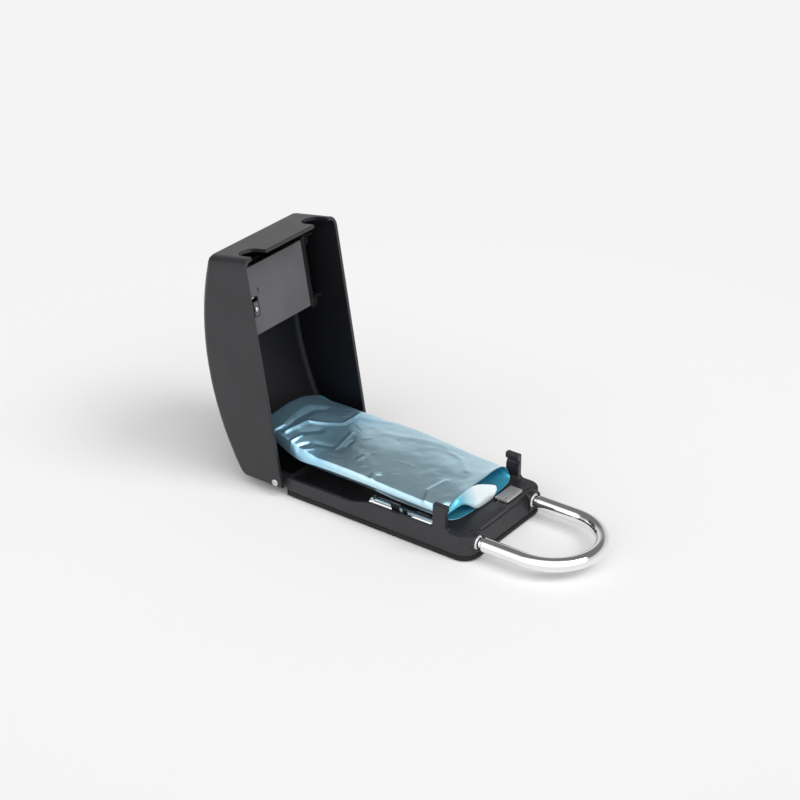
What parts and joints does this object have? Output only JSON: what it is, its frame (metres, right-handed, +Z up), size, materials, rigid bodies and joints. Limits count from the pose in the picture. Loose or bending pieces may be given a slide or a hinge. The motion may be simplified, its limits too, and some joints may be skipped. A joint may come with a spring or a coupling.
{
  "type": "car key lockbox",
  "caption": "Black metal lockbox for a car key, cover swung open, with a chrome shackle, a dial lock in the cover and a foil pouch in the tray",
  "frame": {"origin": "Centre of the rubber pad's flat underside, which the box rests on.", "axes": "+X runs along the tray towards the shackle, +Y across the tray away from the pictured side, +Z up."},
  "size_m": [0.273, 0.0926, 0.1572],
  "materials": {
    "black_coat": "satin black coat over cast metal",
    "black_rubber": "dull black rubber",
    "plate_grey": "matte dark grey coat on sheet steel",
    "chrome": "polished chrome plate on steel rod",
    "bright_steel": "plain bright steel",
    "dark_steel": "blackened steel",
    "brass": "plain turned brass",
    "black_plastic": "black moulded plastic, white figures on the dials",
    "foil": "thin metallised film, blue-grey outside and teal inside"
  },
  "bodies": {
    "base": {"base_tray": "black_coat", "base_pad": "black_rubber", "shackle_clip_near": "dark_steel", "shackle_clip_far": "dark_steel", "clip_rivet_near": "bright_steel", "clip_rivet_far": "bright_steel", "release_spring": "bright_steel", "foil_pouch": "foil"},
    "shackle": {"shackle": "chrome"},
    "shackle_release": {"shackle_release": "bright_steel"},
    "cover": {"cover_shell": "black_coat", "hinge_pin_near": "bright_steel", "hinge_pin_far": "bright_steel", "mechanism_plate": "plate_grey", "plate_screw_1": "dark_steel", "plate_screw_2": "dark_steel", "plate_screw_3": "dark_steel", "plate_screw_4": "dark_steel", "dial_frame": "bright_steel", "frame_screw_1": "bright_steel", "frame_screw_2": "bright_steel", "detent_spring": "bright_steel", "latch_spring_near": "bright_steel", "latch_spring_far": "bright_steel"},
    "latch": {"latch_plate": "bright_steel"},
    "button": {"release_button": "black_plastic"},
    "reset": {"reset_slider": "dark_steel", "reset_screw": "bright_steel", "gate_carrier": "bright_steel", "dial_axle": "bright_steel"},
    "dial_1": {"dial_wheel_1": "black_plastic"},
    "gate_1": {"gate_1": "brass"},
    "dial_2": {"dial_wheel_2": "black_plastic"},
    "gate_2": {"gate_2": "brass"},
    "dial_3": {"dial_wheel_3": "black_plastic"},
    "gate_3": {"gate_3": "brass"},
    "dial_4": {"dial_wheel_4": "black_plastic"},
    "gate_4": {"gate_4": "brass"}
  },
  "joints": [
    {"name": "cover_hinge", "type": "hinge", "parent": "base", "child": "cover", "pos_m": [-0.0762, 0, 0.0089], "axis": [0, 1, 0], "range_deg": [0, 99.6], "deforming": ["foil_pouch"]},
    {"name": "shackle_slide", "type": "slide", "parent": "base", "child": "shackle", "axis": [1, 0, 0], "range_m": [0, 0.0223]},
    {"name": "shackle_release_slide", "type": "slide", "parent": "base", "child": "shackle_release", "axis": [0, -1, 0], "range_m": [0, 0.004], "stiffness_N_per_m": 150, "springref_m": -0.004, "deforming": ["release_spring"]},
    {"name": "latch_slide", "type": "slide", "parent": "cover", "child": "latch", "axis": [0.1668, 0, -0.986], "range_m": [0, 0.0042], "stiffness_N_per_m": 250, "springref_m": -0.004, "deforming": ["latch_spring_near", "latch_spring_far"]},
    {"name": "button_press", "type": "slide", "parent": "cover", "child": "button", "axis": [0.986, 0, 0.1668], "range_m": [0, 0.0034]},
    {"name": "reset_slide", "type": "slide", "parent": "cover", "child": "reset", "axis": [0, -1, 0], "range_m": [0, 0.0015]},
    {"name": "dial_1_spin", "type": "hinge", "parent": "cover", "child": "dial_1", "pos_m": [-0.12371, -0.018, 0.10644], "axis": [0, 1, 0], "continuous": true},
    {"name": "gate_1_spin", "type": "hinge", "parent": "reset", "child": "gate_1", "pos_m": [-0.12371, -0.018, 0.10644], "axis": [0, 1, 0], "continuous": true},
    {"name": "dial_2_spin", "type": "hinge", "parent": "cover", "child": "dial_2", "pos_m": [-0.12371, -0.006, 0.10644], "axis": [0, 1, 0], "continuous": true},
    {"name": "gate_2_spin", "type": "hinge", "parent": "reset", "child": "gate_2", "pos_m": [-0.12371, -0.006, 0.10644], "axis": [0, 1, 0], "continuous": true},
    {"name": "dial_3_spin", "type": "hinge", "parent": "cover", "child": "dial_3", "pos_m": [-0.12371, 0.006, 0.10644], "axis": [0, 1, 0], "continuous": true},
    {"name": "gate_3_spin", "type": "hinge", "parent": "reset", "child": "gate_3", "pos_m": [-0.12371, 0.006, 0.10644], "axis": [0, 1, 0], "continuous": true},
    {"name": "dial_4_spin", "type": "hinge", "parent": "cover", "child": "dial_4", "pos_m": [-0.12371, 0.018, 0.10644], "axis": [0, 1, 0], "continuous": true},
    {"name": "gate_4_spin", "type": "hinge", "parent": "reset", "child": "gate_4", "pos_m": [-0.12371, 0.018, 0.10644], "axis": [0, 1, 0], "continuous": true}
  ],
  "couplings": [
    {"joint": "button_press", "follows": "latch_slide", "ratio": 0.80952},
    {"joint": "gate_1_spin", "follows": "dial_1_spin", "ratio": 1},
    {"joint": "gate_2_spin", "follows": "dial_2_spin", "ratio": 1},
    {"joint": "gate_3_spin", "follows": "dial_3_spin", "ratio": 1},
    {"joint": "gate_4_spin", "follows": "dial_4_spin", "ratio": 1}
  ]
}
